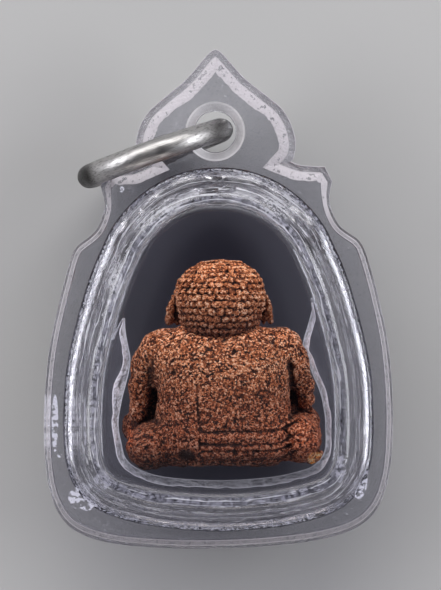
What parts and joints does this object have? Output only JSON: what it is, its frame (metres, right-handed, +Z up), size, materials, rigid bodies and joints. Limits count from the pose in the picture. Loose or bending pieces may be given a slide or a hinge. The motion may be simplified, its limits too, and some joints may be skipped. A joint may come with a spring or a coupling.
{
  "type": "amulet pendant in a clear acrylic case",
  "caption": "Seated powder monk amulet in a clear domed acrylic case with a pointed finial, cusped shoulders and a steel hanging ring.",
  "frame": {"origin": "on the surface it lies on, under the middle of the case's width and length", "axes": "+X across the case to the right as seen from above, +Y up the case to its finial, +Z up through the case from its front window to its back window"},
  "size_m": [0.0322, 0.046, 0.0164],
  "materials": {
    "acrylic": "clear, polished, with hand-cut bevels",
    "cradle_acrylic": "clear, with frosted saw-cut edges",
    "pressed_powder": "dry, gritty pressed powder",
    "steel": "polished, lightly scratched"
  },
  "bodies": {
    "case": {"case_back": "acrylic", "case_front": "acrylic", "cradle": "cradle_acrylic", "figure": "pressed_powder"},
    "ring": {"ring": "steel"}
  },
  "joints": [
    {"name": "ring_swing", "type": "hinge", "parent": "case", "child": "ring", "pos_m": [-0.0003, 0.0154, 0.0082], "axis": [0, 0, 1], "range_deg": [-216, 0]}
  ]
}
